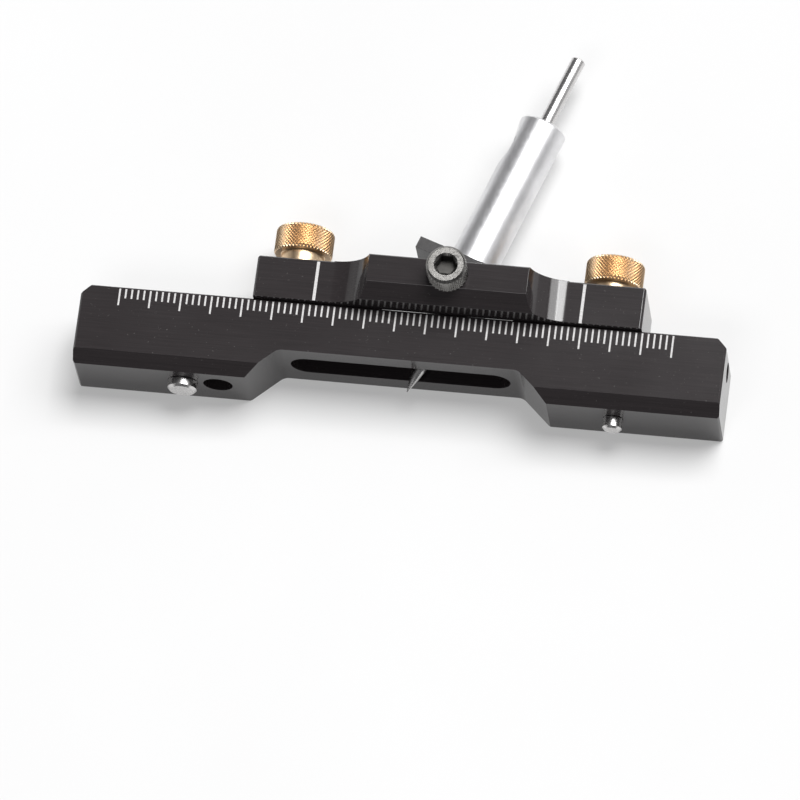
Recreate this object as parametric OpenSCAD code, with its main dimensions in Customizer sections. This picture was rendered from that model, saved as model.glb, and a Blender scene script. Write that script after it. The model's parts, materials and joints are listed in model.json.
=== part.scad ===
// Marking gauge: a scaled beam with two guide pins, and a clamped carriage
// that carries a swivelling barrel with a scribing needle.
// It lies on its back: +X along the scale, +Y towards the thumbscrews,
// +Z out of the scale face. The origin is the middle of the beam's back face.

/* [Beam] */
// Length of the beam
beam_l = 105; // [104:0.5:112]
// Width of the beam, from the fence faces to the face the carriage runs on
beam_w = 13; // [12.8:0.1:14]
// Thickness of the beam, from the back face to the scale face
beam_t = 12.5; // [12.4:0.1:13.5]
// Chamfer between the scale face and the fence faces
fence_chamfer = 2; // [0.5:0.25:2.5]
// Corner chamfer at the beam's ends, on the carriage side
corner_chamfer = 1.6; // [0.5:0.1:2.5]
// Small chamfer along the beam's other edges
edge_break = 0.3; // [0.1:0.05:0.5]
// Half the length of the relief's floor between the fence faces
relief_half = 19.5; // [19:0.1:20]
// Depth of the relief
relief_d = 4.6; // [4:0.1:5]
// How far each sloping wall of the relief spreads
relief_spread = 5; // [4:0.1:5.2]
// Fillet in the relief's two inner corners
relief_fillet = 2; // [0.5:0.25:2.5]
// Height of the needle, pin and screw axes above the back face
axis_z = 6.3; // [6.2:0.05:6.5]
// Half the length of the slot that the needle works in
slot_half = 17.9; // [17.8:0.1:18.2]
// Width of the slot that the needle works in
slot_w = 5.7; // [5.2:0.1:6]

/* [Scale] */
// Millimetre marks after the zero mark
mark_count = 90; // [50:5:90]
// Place of the zero mark along the beam
mark_zero = -46.2; // [-47:0.1:-45]
// Width of one mark
mark_w = 0.28; // [0.2:0.02:0.4]
// Reach of an ordinary mark from the edge, at zero
mark_short = 1.9; // [1.2:0.05:2.2]
// Reach of every fifth mark from the edge, at zero
mark_long = 3.2; // [2.6:0.05:3.5]
// Extra reach of each next mark, because the row runs slightly off the edge
mark_drift = 0.0095; // [0:0.0005:0.012]

/* [Carriage] */
// Place of the carriage's middle along the beam
carriage_x = 7.05; // [-8:0.05:8]
// Length of the carriage
carriage_l = 63.2; // [62:0.2:66]
// Width of the carriage, square to the beam
carriage_w = 7.1; // [7.1:0.05:8]
// Height of the two lugs
lug_t = 13.7; // [13.2:0.1:14]
// Height of the bridge's flat top
bridge_t = 18.5; // [18:0.1:19.5]
// Half the length of the bridge at its foot
bridge_half = 19.1; // [18:0.1:19.6]
// Radius of the bridge's hollow ends
bridge_r = 6.3; // [5.5:0.1:7]
// Chamfer between the bridge's flat top and its front
bridge_chamfer = 2.4; // [1:0.1:2.8]
// Half the width of the channel under the bridge
channel_half = 10.6; // [10.5:0.1:11]
// Distance from the carriage's middle to each index mark
index_x = 21.65; // [20:0.05:22]
// Distance from the carriage's middle to each thumbscrew
knob_x = 25.4; // [24.8:0.1:25.6]

/* [Thumbscrews] */
// Diameter of the knurled head
knob_d = 9.5; // [8:0.1:12]
// Length of the knurled head
knob_l = 4.2; // [3.5:0.1:6]
// Length of the plain collar under the head
collar_l = 2.2; // [2:0.1:4]
// How far the left thumbscrew is backed off from its lug
back_off = 1; // [0:0.1:1.5]
// Diameter of the screws' thread
thread_d = 4; // [3.5:0.1:4]

/* [Swivel and scriber] */
// Lean of the barrel towards +X
lean = 19; // [0:0.1:20]
// Half the span of the swivel block's wings
wing_half = 8.4; // [7.6:0.1:8.6]
// Diameter of the barrel
barrel_d = 7.94; // [7:0.02:8]
// Distance from the pivot to the barrel's outer end
barrel_out = 33.4; // [26:0.1:38]
// Diameter of the scriber rod
rod_d = 2.38; // [2:0.02:2.5]
// Distance from the pivot to the rod's outer end
rod_out = 46.4; // [40:0.1:48]
// Distance from the pivot to the needle's point
needle_reach = 17.2; // [15:0.1:18]
// Length of the needle's cone
needle_cone = 4.6; // [4:0.1:7]

/* [Guide pins] */
// Diameter of the large guide pin
pin_large_d = 4.76; // [4.5:0.02:5]
// How far the large guide pin stands out
pin_large_out = 1.6; // [1:0.1:3]
// Diameter of the small guide pin
pin_small_d = 3.175; // [3:0.025:3.2]
// How far the small guide pin stands out
pin_small_out = 2; // [1:0.1:3]
// Place of the large guide pin along the beam
pin_large_x = -34.9; // [-35.5:0.1:-34.5]
// Place of the spare pin hole along the beam
spare_x = -29.2; // [-29.6:0.1:-29]
// Place of the small guide pin along the beam
pin_small_x = 35.1; // [34:0.1:36]

/* [Hidden] */
$fn = 48;
black = "#2e2b2c";
white = "#f2f0ee";
brass = "#d2a86a";
alloy = "#d4d5d6";
steel = "#a9abad";
dark_steel = "#4c4b49";
eps = 0.01;            // overcut that keeps cuts clear of faces
gap = 0.05;            // play between flat sliding faces
run = 0.02;            // radial play of a running fit
paint = 0.03;          // thickness of a painted mark
front_y = beam_w / 2;  // the face that the carriage runs on
fence_y = -beam_w / 2; // the fence faces
floor_y = fence_y + relief_d;
// T-track for the two nuts, cut into the carriage side of the beam
lip_d = 2;
track_d = 3;
track_w = 7.5;
neck_w = thread_d + 0.6;
track_left = -39;
track_right = 38.5;
track_top = front_y - lip_d;
// Guide pin holes
pin_depth = 7.3;
neck_clear = 0.1;
neck_l = 0.4;
neck_d = 0.5;
pin_top = fence_y + pin_depth;
set_y = fence_y + 3.5;
set_d = 3;
set_l = 3.4;
// Tapped hole in the right end
end_hole_d = 3.3;
end_hole_l = 9;
end_hole_y = 3.1;
// Carriage
back_y = front_y + gap;
lug_y = back_y + carriage_w;
roof_z = 12.3;          // the channel's roof, just under the beam's scale face
pivot_y = front_y + 4.8;
lug_chamfer = 0.35;
// Thumbscrews
stud_tip = 2.2;
stud_in_knob = 3.6;
nut_l = 5.4;
nut_w = 7.2;
nut_t = 2.2;
// Swivel
block_top = roof_z - gap;
block_bottom = 0.6;
hub_r = 4.65;
wing_y0 = 4.1;
wing_y1 = 6.1;
neck_half = 4.5;
spigot_d = 5;
spigot_in = 3.9;
spigot_y = 2.4;
hollow_r = 16;
hollow_d = 0.55;
hollow_y = barrel_out - 5;
hollow_tilt = 15;
// Clamp screw
head_d = 6.7;
head_l = 4;
socket_af = 3;
clamp_l = 9.4;

// A cylinder along +Y, from y0 to y1
module rod_y(d, y0, y1) {
    translate([0, y0, 0]) rotate([-90, 0, 0]) cylinder(d = d, h = y1 - y0);
}

// A cylinder along +Y with a 45 degree chamfer c at either end
module turned_y(d, y0, y1, c0 = 0, c1 = 0) {
    translate([0, y0, 0]) rotate([-90, 0, 0]) rotate_extrude() polygon([
        [0, 0], [d / 2 - c0, 0], [d / 2, c0],
        [d / 2, y1 - y0 - c1], [d / 2 - c1, y1 - y0], [0, y1 - y0]]);
}

// A six-sided socket along +Z, af across its flats, open at z = 0 and below it by depth
module hex_socket(af, depth) {
    translate([0, 0, -depth]) cylinder(d = af / cos(30), h = depth + eps, $fn = 6);
}

// A slot along X that is cut through in Y, with round ends
module slot_y(x0, x1, w, y0, y1) {
    translate([x0, y0, axis_z - w / 2]) cube([x1 - x0, y1 - y0, w]);
    for (x = [x0, x1]) translate([x, 0, axis_z]) rod_y(w, y0, y1);
}

// A headless set screw along +Z with its socket at z = 0, pointing to z = length
module set_screw(d, length) {
    difference() {
        rotate_extrude() polygon([
            [0, 0], [d / 2 - 0.2, 0], [d / 2, 0.2], [d / 2, length - 0.4],
            [d / 2 - 0.4, length], [0, length]]);
        mirror([0, 0, 1]) hex_socket(d / 2, length * 0.4);
    }
}

// ---- beam ----

module beam_blank() {
    c = edge_break;
    l = beam_l / 2;
    intersection() {
        translate([0, 0, -1]) linear_extrude(beam_t + 2) polygon([
            [-l + c, fence_y], [l - c, fence_y], [l, fence_y + c],
            [l, front_y - corner_chamfer], [l - corner_chamfer, front_y],
            [-l + corner_chamfer, front_y], [-l, front_y - corner_chamfer],
            [-l, fence_y + c]]);
        rotate([90, 0, 90]) translate([0, 0, -l - 1]) linear_extrude(beam_l + 2) polygon([
            [fence_y + c, 0], [front_y - c, 0], [front_y, c], [front_y, beam_t - c / 2],
            [front_y - c / 2, beam_t], [fence_y + fence_chamfer, beam_t],
            [fence_y, beam_t - fence_chamfer], [fence_y, c]]);
        rotate([90, 0, 0]) translate([0, 0, -beam_w]) linear_extrude(2 * beam_w) polygon([
            [-l + c, 0], [l - c, 0], [l, c], [l, beam_t - c],
            [l - c, beam_t], [-l + c, beam_t], [-l, beam_t - c], [-l, c]]);
    }
}

// The relief between the fence faces, with a fillet in each inner corner
module relief_cut() {
    slope = atan2(relief_d, relief_spread);
    tangent = relief_fillet * tan(slope / 2);
    over = 1;
    far = relief_half + relief_spread * (1 + over / relief_d);
    in_x = relief_half + tangent * cos(slope);
    in_y = floor_y - tangent * sin(slope);
    translate([0, 0, -1]) {
        linear_extrude(beam_t + 2) polygon([
            [-far, fence_y - over], [far, fence_y - over], [in_x, in_y],
            [relief_half - tangent, floor_y], [-relief_half + tangent, floor_y],
            [-in_x, in_y]]);
        for (side = [-1, 1])
            translate([side * (relief_half - tangent), floor_y - relief_fillet, 0])
                cylinder(r = relief_fillet, h = beam_t + 2);
    }
}

module track_cut() {
    slot_y(track_left, track_right, track_w, track_top - track_d, track_top);
    slot_y(track_left, track_right, neck_w, track_top - eps, front_y + 1);
}

module pin_hole(x, d) {
    translate([x, 0, axis_z]) rod_y(d + 2 * run, fence_y - 1, pin_top);
    translate([x, set_y, -1]) cylinder(d = set_d + 2 * run, h = axis_z + 1);
}

module beam() {
    color(black) difference() {
        beam_blank();
        relief_cut();
        slot_y(-slot_half + slot_w / 2, slot_half - slot_w / 2, slot_w, fence_y, front_y + 1);
        track_cut();
        pin_hole(pin_large_x, pin_large_d);
        pin_hole(spare_x, pin_large_d);
        pin_hole(pin_small_x, pin_small_d);
        translate([beam_l / 2 - end_hole_l, end_hole_y, axis_z])
            rotate([0, 90, 0]) cylinder(d = end_hole_d, h = end_hole_l + 1);
    }
}

module scale_marks() {
    edge = front_y - edge_break;
    color(white) for (i = [0:mark_count]) {
        reach = (i % 5 == 0 ? mark_long : mark_short) + mark_drift * i;
        translate([mark_zero + i - mark_w / 2, front_y - reach, beam_t])
            cube([mark_w, edge - front_y + reach, paint]);
    }
}

// ---- carriage ----

module carriage_blank() {
    h = carriage_l / 2;
    c = lug_chamfer;
    intersection() {
        union() {
            rotate([90, 0, 0]) translate([0, 0, -lug_y]) linear_extrude(carriage_w) polygon([
                [-h + c, 0], [h - c, 0], [h, c], [h, lug_t - c], [h - c, lug_t],
                [-h + c, lug_t], [-h, lug_t - c], [-h, c]]);
            difference() {
                translate([-bridge_half, back_y, lug_t - 1])
                    cube([2 * bridge_half, carriage_w, bridge_t - lug_t + 1]);
                for (side = [-1, 1])
                    translate([side * bridge_half, 0, lug_t + bridge_r])
                        rod_y(2 * bridge_r, back_y - 1, lug_y + 1);
            }
        }
        translate([0, 0, -1]) linear_extrude(bridge_t + 2) polygon([
            [-h, back_y], [h, back_y], [h, lug_y - c], [h - c, lug_y],
            [-h + c, lug_y], [-h, lug_y - c]]);
    }
}

// Removes the edges at the carriage's outer face, at height z
module outer_edge_cut(x0, x1, z) {
    c = lug_chamfer * 0.8;
    translate([x0, 0, 0]) rotate([90, 0, 90]) linear_extrude(x1 - x0) polygon([
        [lug_y + eps, z - c - eps], [lug_y + eps, z + 1], [lug_y - c - eps, z + 1],
        [lug_y - c - eps, z + eps]]);
}

module carriage() {
    h = carriage_l / 2;
    flat_half = bridge_half - sqrt(pow(bridge_r, 2) - pow(bridge_r - bridge_t + lug_t, 2));
    c = bridge_chamfer;
    color(black) translate([carriage_x, 0, 0]) difference() {
        carriage_blank();
        // chamfered front of the bridge
        translate([-bridge_half - 1, 0, 0]) rotate([90, 0, 90])
            linear_extrude(2 * bridge_half + 2) polygon([
                [back_y - 1, bridge_t - c - 1], [back_y + c + 1, bridge_t + 1],
                [back_y - 1, bridge_t + 1]]);
        // channel for the swivel block
        translate([-channel_half, back_y - 1, -1])
            cube([2 * channel_half, carriage_w + 2, roof_z + 1]);
        translate([0, pivot_y, roof_z - 1]) cylinder(d = thread_d + 0.5, h = bridge_t);
        for (side = [-1, 1]) translate([side * knob_x, 0, axis_z])
            rod_y(thread_d + 0.5, back_y - 1, lug_y + 1);
        outer_edge_cut(-h - 1, -bridge_half, lug_t);
        outer_edge_cut(bridge_half, h + 1, lug_t);
        outer_edge_cut(-flat_half, flat_half, bridge_t);
    }
}

module index_marks() {
    color(white) for (side = [-1, 1])
        translate([carriage_x + side * index_x - 0.24, back_y, lug_t])
            cube([0.48, carriage_w - lug_chamfer, paint]);
}

// ---- thumbscrews ----

// How far a side's thumbscrew stands off its lug: only the left one is backed off
function backed(side) = side < 0 ? back_off : 0;

module thumb_knob(side) {
    knob_y = lug_y + collar_l;
    color(brass) translate([carriage_x + side * knob_x, backed(side), axis_z]) difference() {
        union() {
            turned_y(7, lug_y, knob_y, 0.3, 0);
            turned_y(knob_d, knob_y, knob_y + knob_l, 0.35, 0.35);
        }
        rod_y(thread_d + run, lug_y - 1, lug_y + stud_in_knob);
    }
}

module thumb_stud(side) {
    color(steel) translate([carriage_x + side * knob_x, backed(side), axis_z])
        turned_y(thread_d, stud_tip, lug_y + stud_in_knob - gap, 0.5, 0.2);
}

// A nut that drops in through the needle slot and is turned to lock: two of its
// corners are square and two are round
module t_nut(side) {
    r = nut_w / 2;
    color(steel) translate([carriage_x + side * knob_x, track_top - nut_t, axis_z])
        difference() {
            union() {
                intersection() {
                    translate([-nut_l / 2, 0, -r]) cube([nut_l, nut_t, nut_w]);
                    rod_y(nut_w, -1, nut_t + 1);
                }
                cube([nut_l / 2, nut_t, r]);
                translate([-nut_l / 2, 0, -r]) cube([nut_l / 2, nut_t, r]);
            }
            rod_y(thread_d + 2 * run, -1, nut_t + 1);
        }
}

// ---- swivel block, barrel and scriber ----

// Places children in the barrel's frame: the origin on the pivot, +Y out along the barrel
module on_barrel(z = axis_z) {
    translate([carriage_x, pivot_y, z]) rotate([0, 0, -lean]) children();
}

module swivel_block() {
    block_h = block_top - block_bottom;
    color(black) difference() {
        on_barrel(block_bottom) {
            cylinder(r = hub_r, h = block_h);
            translate([-neck_half, 0, 0]) cube([2 * neck_half, wing_y1, block_h]);
            translate([-wing_half, wing_y0, 0]) cube([2 * wing_half, wing_y1 - wing_y0, block_h]);
        }
        on_barrel() {
            rod_y(barrel_d + run, spigot_y, wing_y1 + 1);
            rod_y(spigot_d + run, -spigot_in - gap, spigot_y + 1);
            rod_y(rod_d + 4 * run, -hub_r - 1, 0);
            translate([0, 0, spigot_d / 2]) cylinder(d = thread_d + 2 * run, h = block_h);
        }
    }
}

module clamp_screw() {
    color(dark_steel) translate([carriage_x, pivot_y, bridge_t]) difference() {
        rotate_extrude() polygon([
            [0, -clamp_l], [thread_d / 2 - 0.4, -clamp_l], [thread_d / 2, -clamp_l + 0.4],
            [thread_d / 2, 0], [head_d / 2, 0], [head_d / 2, head_l - 0.45],
            [head_d / 2 - 0.45, head_l], [0, head_l]]);
        translate([0, 0, head_l]) hex_socket(socket_af, 2.2);
        translate([0, 0, head_l - 0.3]) cylinder(d1 = socket_af + 0.2, d2 = socket_af + 0.82, h = 0.3 + eps);
    }
}

// Direction out of the hollow near the barrel's outer end
module on_hollow() {
    on_barrel() translate([0, hollow_y, 0]) rotate([0, hollow_tilt - 90, 0]) children();
}

module barrel() {
    color(alloy) difference() {
        on_barrel() {
            turned_y(spigot_d, -spigot_in, spigot_y + eps, 0.3, 0);
            turned_y(barrel_d, spigot_y, barrel_out, 0, 0.35);
        }
        on_barrel() rod_y(rod_d + 2 * run, -spigot_in - 1, barrel_out + 1);
        on_hollow() {
            translate([-barrel_d, 0, barrel_d / 2 - hollow_d + hollow_r])
                rotate([0, 90, 0]) cylinder(r = hollow_r, h = 2 * barrel_d, $fn = 96);
            cylinder(d = set_d + 2 * run, h = barrel_d);
        }
    }
}

module rod_set_screw() {
    top = barrel_d / 2 - hollow_d - gap;
    length = top - rod_d / 2 - run;
    color(dark_steel) on_hollow() translate([0, 0, top]) mirror([0, 0, 1]) set_screw(set_d, length);
}

module scriber_rod() {
    tip_r = 0.08;
    color(steel) on_barrel() translate([0, -needle_reach, 0]) rotate([-90, 0, 0])
        rotate_extrude() polygon([
            [0, 0], [tip_r, 0], [rod_d / 2, needle_cone],
            [rod_d / 2, needle_reach + rod_out - 0.25],
            [rod_d / 2 - 0.25, needle_reach + rod_out], [0, needle_reach + rod_out]]);
}

// ---- guide pins and their set screws ----

// A pin with a narrow neck between its guide end and its shank
module guide_pin(x, d, out) {
    neck_y = fence_y - neck_clear;
    color(steel) translate([x, 0, axis_z]) {
        turned_y(d, fence_y - out, neck_y, 0.35, 0);
        rod_y(d - neck_d, neck_y - eps, neck_y + neck_l + eps);
        turned_y(d - 2 * run, neck_y + neck_l, pin_top - 0.2, 0.1, 0.3);
    }
}

// A set screw in the back face whose point stops at height z
module back_screw(x, z) {
    color(dark_steel) translate([x, set_y, z - set_l]) set_screw(set_d, set_l);
}

module guide_pin_large() { guide_pin(pin_large_x, pin_large_d, pin_large_out); }
module guide_pin_small() { guide_pin(pin_small_x, pin_small_d, pin_small_out); }
module pin_set_screw_large() { back_screw(pin_large_x, axis_z - pin_large_d / 2); }
module pin_set_screw_spare() { back_screw(spare_x, axis_z - pin_large_d / 2 - 0.05); }
module pin_set_screw_small() { back_screw(pin_small_x, axis_z - pin_small_d / 2); }

beam();
scale_marks();
carriage();
index_marks();
thumb_knob(-1);  // thumb_knob_left
thumb_knob(1);  // thumb_knob_right
thumb_stud(-1);  // thumb_stud_left
thumb_stud(1);  // thumb_stud_right
t_nut(-1);  // t_nut_left
t_nut(1);  // t_nut_right
swivel_block();
clamp_screw();
barrel();
scriber_rod();
rod_set_screw();
guide_pin_large();
guide_pin_small();
pin_set_screw_large();
pin_set_screw_spare();
pin_set_screw_small();
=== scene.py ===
"""Looks of the marking gauge: knurled and threaded parts, finishes, floor, light and camera.
Lengths are in metres in the gauge's own frame: +X along the scale, +Z out of the scale face."""
import json
import math

import bpy
from mathutils import Matrix, Vector


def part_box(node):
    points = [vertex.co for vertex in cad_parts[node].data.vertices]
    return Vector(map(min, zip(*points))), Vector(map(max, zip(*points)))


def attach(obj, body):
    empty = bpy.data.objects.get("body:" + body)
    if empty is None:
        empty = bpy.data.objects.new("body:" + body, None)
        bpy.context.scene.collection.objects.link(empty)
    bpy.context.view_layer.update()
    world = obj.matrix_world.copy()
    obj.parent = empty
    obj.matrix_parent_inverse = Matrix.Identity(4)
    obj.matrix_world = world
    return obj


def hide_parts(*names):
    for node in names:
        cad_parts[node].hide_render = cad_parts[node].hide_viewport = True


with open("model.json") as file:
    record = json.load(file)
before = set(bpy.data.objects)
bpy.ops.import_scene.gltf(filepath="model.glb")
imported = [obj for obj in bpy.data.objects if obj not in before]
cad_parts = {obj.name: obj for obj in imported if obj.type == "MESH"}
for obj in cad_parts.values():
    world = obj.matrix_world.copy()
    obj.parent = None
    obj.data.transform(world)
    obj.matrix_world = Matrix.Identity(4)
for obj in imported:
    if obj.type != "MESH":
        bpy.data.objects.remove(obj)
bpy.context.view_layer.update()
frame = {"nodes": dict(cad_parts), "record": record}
scene = bpy.context.scene
MM = 0.001

# ---- camera: a long lens that looks down on the scale face from the front and the right ----
CAMERA_PLACE = Vector((228.5, -657.2, 1711.6)) * MM
CAMERA_RIGHT = Vector((0.98858, 0.12474, -0.08458))
CAMERA_BACK = Vector((0.12396, -0.35379, 0.92707))
FOCAL_IN_WIDTHS = 11430.5 / 800


def make_camera():
    data = bpy.data.cameras.new("camera")
    data.sensor_width = 36
    data.lens = data.sensor_width * FOCAL_IN_WIDTHS
    data.clip_end = 20
    camera = bpy.data.objects.new("camera", data)
    scene.collection.objects.link(camera)
    back = CAMERA_BACK.normalized()
    up = back.cross(CAMERA_RIGHT).normalized()
    right = up.cross(back)
    turn = Matrix((right, up, back)).transposed().to_4x4()
    camera.matrix_world = Matrix.Translation(CAMERA_PLACE) @ turn
    scene.camera = camera


make_camera()
scene.view_settings.view_transform = "Standard"


# ---- materials ----
class Paint:
    """A Principled material with helpers for the texture nodes that feed it."""

    def __init__(self, name):
        self.material = bpy.data.materials.new(name)
        self.material.use_nodes = True
        self.tree = self.material.node_tree
        self.shader = self.tree.nodes["Principled BSDF"]
        coordinates = self.tree.nodes.new("ShaderNodeTexCoord")
        self.place = coordinates.outputs["Object"]
        self.facing = coordinates.outputs["Normal"]

    def link(self, a, b):
        self.tree.links.new(a, b)

    def set(self, **values):
        for socket, value in values.items():
            self.shader.inputs[socket.replace("_", " ")].default_value = value
        return self

    def noise(self, scale, detail=4.0, roughness=0.6):
        """Noise whose cells per metre are given for X, Y and Z."""
        mapping = self.tree.nodes.new("ShaderNodeMapping")
        mapping.inputs["Scale"].default_value = scale
        node = self.tree.nodes.new("ShaderNodeTexNoise")
        node.inputs["Scale"].default_value = 1
        node.inputs["Detail"].default_value = detail
        node.inputs["Roughness"].default_value = roughness
        self.link(self.place, mapping.inputs["Vector"])
        self.link(mapping.outputs["Vector"], node.inputs["Vector"])
        return node.outputs["Fac"]

    def ramp(self, value, stops):
        """Colours or greys against value, from a list of (position, colour)."""
        node = self.tree.nodes.new("ShaderNodeValToRGB")
        points = node.color_ramp.elements
        while len(points) < len(stops):
            points.new(0.5)
        for point, (position, colour) in zip(points, stops):
            point.position = position
            point.color = (*colour, 1) if isinstance(colour, tuple) else (colour,) * 3 + (1,)
        self.link(value, node.inputs["Fac"])
        return node.outputs["Color"]

    def faces_up(self):
        """0 on upright faces and 1 on faces that look up or down."""
        split = self.tree.nodes.new("ShaderNodeSeparateXYZ")
        size = self.tree.nodes.new("ShaderNodeMath")
        size.operation = "ABSOLUTE"
        self.link(self.facing, split.inputs["Vector"])
        self.link(split.outputs["Z"], size.inputs[0])
        return self.ramp(size.outputs["Value"], [(0.3, 0.0), (0.6, 1.0)])

    def blend(self, amount, a, b):
        node = self.tree.nodes.new("ShaderNodeMix")
        node.data_type = "RGBA"
        self.link(amount, node.inputs["Factor"])
        self.link(a, node.inputs["A"])
        self.link(b, node.inputs["B"])
        return node.outputs["Result"]

    def feed(self, socket, value):
        self.link(value, self.shader.inputs[socket])
        return self

    def bump(self, *layers):
        """Height layers, each (height, depth in metres), one on top of the other."""
        normal = None
        for height, depth in layers:
            node = self.tree.nodes.new("ShaderNodeBump")
            node.inputs["Distance"].default_value = depth
            self.link(height, node.inputs["Height"])
            if normal:
                self.link(normal, node.inputs["Normal"])
            normal = node.outputs["Normal"]
        self.link(normal, self.shader.inputs["Normal"])
        return self


def anodised(name, dark, light, lines, rough=(0.1, 0.17)):
    """Black anodised aluminium with a little handling dust.
    Faces that look up or down are brushed along lines, and the others are milled upright."""
    p = Paint(name).set(IOR=1.52)
    brushed = p.blend(p.faces_up(), p.noise((3800, 3800, 120), 3, 0.7), p.noise(lines, 3, 0.7))
    cloudy = p.noise((70, 70, 70), 5, 0.55)
    specks = p.ramp(p.noise((2600, 2600, 2600), 2, 0.5), [(0.7, 0.0), (0.76, 0.55)])
    colour = p.ramp(brushed, [(0.3, dark), (0.75, light)])
    dust = p.ramp(cloudy, [(0.35, (0.06, 0.056, 0.056)), (0.7, (0.16, 0.15, 0.148))])
    p.feed("Base Color", p.blend(specks, colour, dust))
    p.feed("Roughness", p.ramp(cloudy, [(0.0, rough[0]), (1.0, rough[1])]))
    return p.bump((brushed, 8e-7)).material


def metal(name, dark, light, lines, rough, depth=1e-6):
    """Bare metal, tarnished a little in clouds, with tool marks along lines."""
    p = Paint(name).set(Metallic=1.0)
    marks = p.noise(lines, 3, 0.7)
    cloudy = p.noise((150, 150, 150), 5, 0.6)
    p.feed("Base Color", p.ramp(cloudy, [(0.3, dark), (0.7, light)]))
    p.feed("Roughness", p.ramp(marks, [(0.25, rough[0]), (0.75, rough[1])]))
    return p.bump((marks, depth)).material


def painted(name):
    p = Paint(name).set(IOR=1.45)
    grain = p.noise((3500, 3500, 3500), 3, 0.6)
    p.feed("Base Color", p.ramp(grain, [(0.3, (0.42, 0.41, 0.41)), (0.6, (0.6, 0.59, 0.585))]))
    p.feed("Roughness", p.ramp(grain, [(0.3, 0.45), (0.7, 0.65)]))
    return p.bump((grain, 4e-6)).material


def smooth_by_angle(limit):
    """A geometry group that shades every face smooth and keeps edges sharper than limit sharp."""
    group = bpy.data.node_groups.new("smooth_by_angle", "GeometryNodeTree")
    group.interface.new_socket("Geometry", in_out="INPUT", socket_type="NodeSocketGeometry")
    group.interface.new_socket("Geometry", in_out="OUTPUT", socket_type="NodeSocketGeometry")
    new = group.nodes.new
    angle = new("GeometryNodeInputMeshEdgeAngle").outputs["Unsigned Angle"]
    sharper = new("FunctionNodeCompare")
    sharper.operation = "GREATER_THAN"
    sharper.inputs[1].default_value = math.radians(limit)
    faces = new("GeometryNodeSetShadeSmooth")
    edges = new("GeometryNodeSetShadeSmooth")
    edges.domain = "EDGE"
    edges.inputs["Shade Smooth"].default_value = False
    start, end = new("NodeGroupInput"), new("NodeGroupOutput")
    for a, b in ((start.outputs[0], faces.inputs["Geometry"]),
                 (angle, sharper.inputs[0]),
                 (faces.outputs[0], edges.inputs["Geometry"]),
                 (sharper.outputs[0], edges.inputs["Selection"]),
                 (edges.outputs[0], end.inputs[0])):
        group.links.new(a, b)
    return group


SMOOTH = smooth_by_angle(28)
FINE = (3000, 3000, 3000)
TURNED = (900, 5200, 900)
LOOKS = {
    "black_anodised": anodised("black_anodised", (0.0185, 0.0158, 0.0165), (0.029, 0.0243, 0.0255),
                               (90, 5200, 5200)),
    "black_block": anodised("black_block", (0.02, 0.0185, 0.019), (0.034, 0.0315, 0.032),
                            (2600, 2600, 300), (0.2, 0.28)),
    "white_fill": painted("white_fill"),
    "brass": metal("brass", (0.68, 0.49, 0.31), (0.83, 0.63, 0.42), (1500, 5000, 1500), (0.3, 0.42)),
    "steel": metal("steel", (0.42, 0.41, 0.4), (0.6, 0.59, 0.58), TURNED, (0.24, 0.4)),
    "polished_steel": metal("polished_steel", (0.58, 0.57, 0.565), (0.74, 0.73, 0.725), TURNED,
                            (0.24, 0.3), 1.5e-7),
    "black_steel": metal("black_steel", (0.11, 0.107, 0.102), (0.27, 0.264, 0.254), FINE, (0.18, 0.34)),
    "bright_aluminium": metal("bright_aluminium", (0.68, 0.68, 0.69), (0.86, 0.86, 0.87),
                              (2200, 1500, 2200), (0.36, 0.5), 6e-6),
    # socket: a darker copy of black_steel for the faces inside the hex socket, painted shade for the
    # recess rather than a finish of its own
    "socket": metal("socket", (0.035, 0.034, 0.032), (0.08, 0.078, 0.074), FINE, (0.4, 0.55)),
}
SLOT_OF = {s["node"]: s["material_slot"] for s in frame["record"]["subparts"]}


# ---- turned pieces ----
def lathe(name, rings, count, place, axis, slot, crisp=30):
    """A closed turned mesh. Each ring is (height, radius).
    A radius may be a function of the angle index."""
    verts, faces = [], []
    for height, radius in rings:
        for i in range(count):
            r = radius(i) if callable(radius) else radius
            a = 2 * math.pi * i / count
            verts.append((r * math.cos(a), r * math.sin(a), height))
    for j in range(len(rings) - 1):
        for i in range(count):
            a, b = j * count + i, j * count + (i + 1) % count
            c, d = b + count, a + count
            if (i + j) % 2:
                faces += [(a, b, c), (a, c, d)]
            else:
                faces += [(a, b, d), (b, c, d)]
    for j, turn in ((0, -1), (len(rings) - 1, 1)):
        verts.append((0, 0, rings[j][0]))
        hub = len(verts) - 1
        for i in range(count):
            a, b = j * count + i, j * count + (i + 1) % count
            faces.append((a, b, hub) if turn > 0 else (b, a, hub))
    mesh = bpy.data.meshes.new(name)
    mesh.from_pydata(verts, [], faces)
    mesh.polygons.foreach_set("use_smooth", [True] * len(mesh.polygons))
    mesh.set_sharp_from_angle(angle=math.radians(crisp))
    mesh.materials.append(LOOKS[slot])
    piece = bpy.data.objects.new(name, mesh)
    scene.collection.objects.link(piece)
    turn = Vector((0, 0, 1)).rotation_difference(Vector(axis)).to_matrix().to_4x4()
    piece.matrix_world = Matrix.Translation(place) @ turn
    return piece


def knurl_rings(z0, z1, radius, rows, depth, chamfer):
    """Rings of a diamond knurl whose crossing grooves are depth deep. The ends are chamfered."""
    rings = []
    for j in range(rows + 1):
        z = z0 + (z1 - z0) * j / rows
        limit = radius - max(0, chamfer - min(z - z0, z1 - z))

        def at(i, j=j, limit=limit):
            return min(limit, radius if (i + j) % 2 else radius - depth)
        rings.append((z, at))
    return rings


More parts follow.
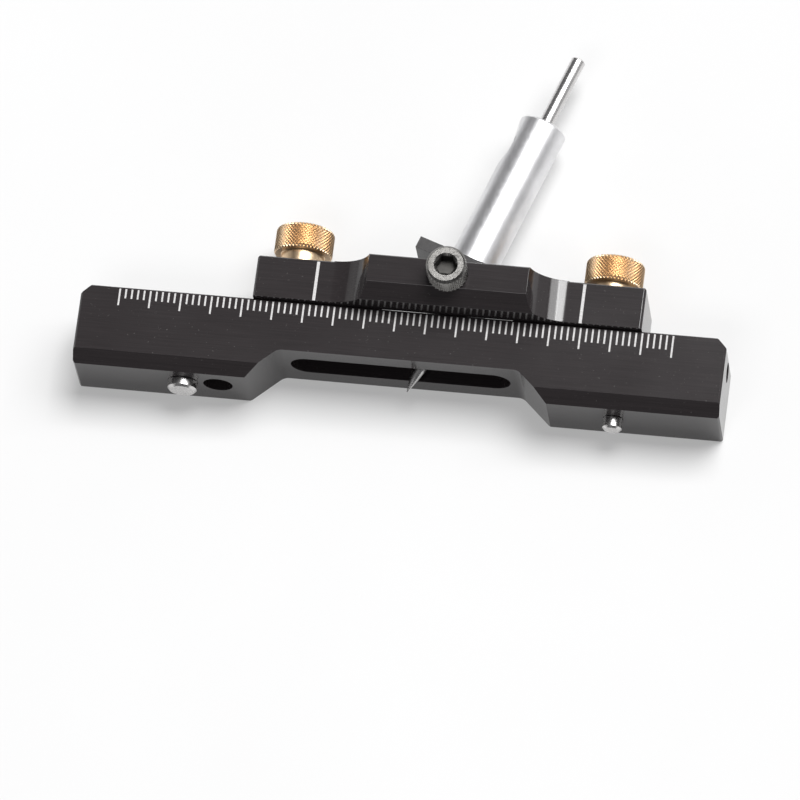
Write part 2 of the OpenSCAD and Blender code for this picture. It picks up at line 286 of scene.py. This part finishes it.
def thread_rings(z0, z1, radius, pitch, depth, count, per_turn=8):
    """Rings of a screw thread, its ends run out to the root."""
    rings = []
    steps = round((z1 - z0) / pitch * per_turn)
    for j in range(steps + 1):
        z = z0 + (z1 - z0) * j / steps

        def at(i, z=z):
            phase = (z / pitch - i / count) % 1
            ridge = 1 - abs(2 * phase - 1)
            fade = min(1, (z - z0) / (0.6 * pitch), (z1 - z) / (0.6 * pitch))
            return radius - depth * (1 - ridge * max(0, fade))
        rings.append((z, at))
    return rings


KNURL_PITCH = 0.6 * MM
KNOB_HEAD = 4.2 * MM
KNOB_COLLAR_R = 3.5 * MM
SCREW_HEAD = 4 * MM
SOCKET_R = 1.5 * MM
SOCKET_MOUTH_R = 1.95 * MM
SOCKET_DEPTH = 2.1 * MM


def make_thumb_knob(side):
    node = "thumb_knob_" + side
    lo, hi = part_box(node)
    radius = (hi.x - lo.x) / 2
    length = hi.y - lo.y
    pitches = round(2 * math.pi * radius / KNURL_PITCH)
    rows = 2 * round(KNOB_HEAD / KNURL_PITCH)
    z0 = length - KNOB_HEAD
    rings = [(0, KNOB_COLLAR_R - 0.3 * MM), (0.3 * MM, KNOB_COLLAR_R),
             (z0 - 0.15 * MM, KNOB_COLLAR_R), (z0, KNOB_COLLAR_R + 0.15 * MM)]
    rings += knurl_rings(z0, length, radius, rows, 0.26 * MM, 0.2 * MM)
    rings += [(length, radius - 0.9 * MM), (length - 0.12 * MM, radius - 1.1 * MM),
              (length - 0.12 * MM, 1.0 * MM), (length - 0.5 * MM, 0.6 * MM)]
    middle = (lo + hi) / 2
    knob = lathe("knurled_" + node, rings, 2 * pitches, (middle.x, lo.y, middle.z), (0, 1, 0), "brass", 20)
    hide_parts(node)
    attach(knob, "thumbscrew_" + side)


def make_clamp_screw():
    lo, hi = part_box("clamp_screw")
    radius = (hi.x - lo.x) / 2
    top = hi.z
    under = top - SCREW_HEAD
    pitches = 30
    count = 2 * pitches
    rings = [(lo.z, 1.2 * MM)]
    rings += thread_rings(lo.z + 0.1 * MM, under - 0.6 * MM, 2 * MM, 0.7 * MM, 0.38 * MM, count)
    rings += [(under, 2 * MM)]
    rings += [(under, radius - 0.25 * MM)]
    rings += knurl_rings(under, top - 0.55 * MM, radius, 10, 0.17 * MM, 0.2 * MM)

    def hexagon(i):
        a = (2 * math.pi * i / count) % (math.pi / 3) - math.pi / 6
        return SOCKET_R / math.cos(a)
    rings += [(top - 0.4 * MM, radius - 0.1 * MM), (top - 0.15 * MM, radius - 0.28 * MM),
              (top, radius - 0.5 * MM), (top, SOCKET_MOUTH_R),
              (top - 0.32 * MM, hexagon), (top - SOCKET_DEPTH, hexagon),
              (top - SOCKET_DEPTH, 0.2 * MM)]
    place = ((lo.x + hi.x) / 2, (lo.y + hi.y) / 2, 0)
    screw = lathe("socket_screw", rings, count, place, (0, 0, 1), "black_steel", 25)
    # Faces inside the hex socket take the darker socket material: painted shade in the recess
    screw.data.materials.append(LOOKS["socket"])
    for face in screw.data.polygons:
        takes_painted_shade = math.hypot(face.center.x, face.center.y) < 1.75 * MM
        face.material_index = int(takes_painted_shade and face.center.z > under)
    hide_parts("clamp_screw")
    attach(screw, "clamp")


make_thumb_knob("left")
make_thumb_knob("right")
make_clamp_screw()


# ---- carried-over nodes: finishes, smooth round faces and broken edges ----
BROKEN_EDGES = {"beam": 0.12, "carriage": 0.1, "swivel_block": 0.08}


def dress(name, node):
    mesh = node.data
    mesh.materials.clear()
    mesh.materials.append(LOOKS[SLOT_OF[name]])
    own_normals = mesh.attributes.get("custom_normal")
    if own_normals:
        mesh.attributes.remove(own_normals)
    weld = node.modifiers.new("weld", "WELD")
    weld.merge_threshold = 1e-6
    node.modifiers.new("smooth", "NODES").node_group = SMOOTH
    if name in BROKEN_EDGES:
        bevel = node.modifiers.new("broken_edges", "BEVEL")
        bevel.width = BROKEN_EDGES[name] * MM
        bevel.segments = 2
        bevel.limit_method = "ANGLE"
        bevel.angle_limit = math.radians(25)
        bevel.harden_normals = True
    flats = node.modifiers.new("flat_faces", "WEIGHTED_NORMAL")
    flats.weight = 50
    flats.keep_sharp = True


for name, node in frame["nodes"].items():
    if not node.hide_render:
        dress(name, node)


# ---- floor and light ----
def make_floor():
    bpy.ops.mesh.primitive_plane_add(size=6, location=(0, 0, 0))
    floor = bpy.context.object
    floor.name = "floor"
    p = Paint("floor_white").set(Roughness=0.9)
    p.set(Emission_Color=(1, 1, 1, 1), Emission_Strength=0.3)
    p.feed("Base Color", p.ramp(p.noise((8, 8, 8)), [(0.3, 0.47), (0.7, 0.49)]))
    floor.data.materials.append(p.material)


def make_light(name, direction, width, height, radiance, distance=8):
    """A softbox that shines evenly at the gauge, its size in metres."""
    data = bpy.data.lights.new(name, "AREA")
    data.shape = "RECTANGLE"
    data.size, data.size_y = width, height
    data.energy = radiance * math.pi * width * height
    light = bpy.data.objects.new(name, data)
    scene.collection.objects.link(light)
    away = Vector(direction).normalized()
    light.location = away * distance
    light.rotation_mode = "QUATERNION"
    back = Vector((0, 1, 0)) - away * away.y
    across = back.normalized().cross(away)
    light.rotation_quaternion = Matrix((across, back.normalized(), away)).transposed().to_quaternion()
    light.visible_camera = False


make_floor()
make_light("key", (0.18, 0.354, 0.918), 3.1, 4.2, 15)
make_light("key_spill", (0.51, 0.354, 0.784), 3.4, 4.2, 6)
make_light("front_fill", (-0.15, -0.6, 0.79), 4, 2, 4)
make_light("right_card", (0.93, 0.2, 0.3), 5.6, 4, 0.45)
make_light("left_card", (-0.94, 0.2, 0.27), 4.8, 3, 0.75)
world = bpy.data.worlds.new("studio")
world.use_nodes = True
world.node_tree.nodes["Background"].inputs["Color"].default_value = (0.12, 0.12, 0.123, 1)
scene.world = world
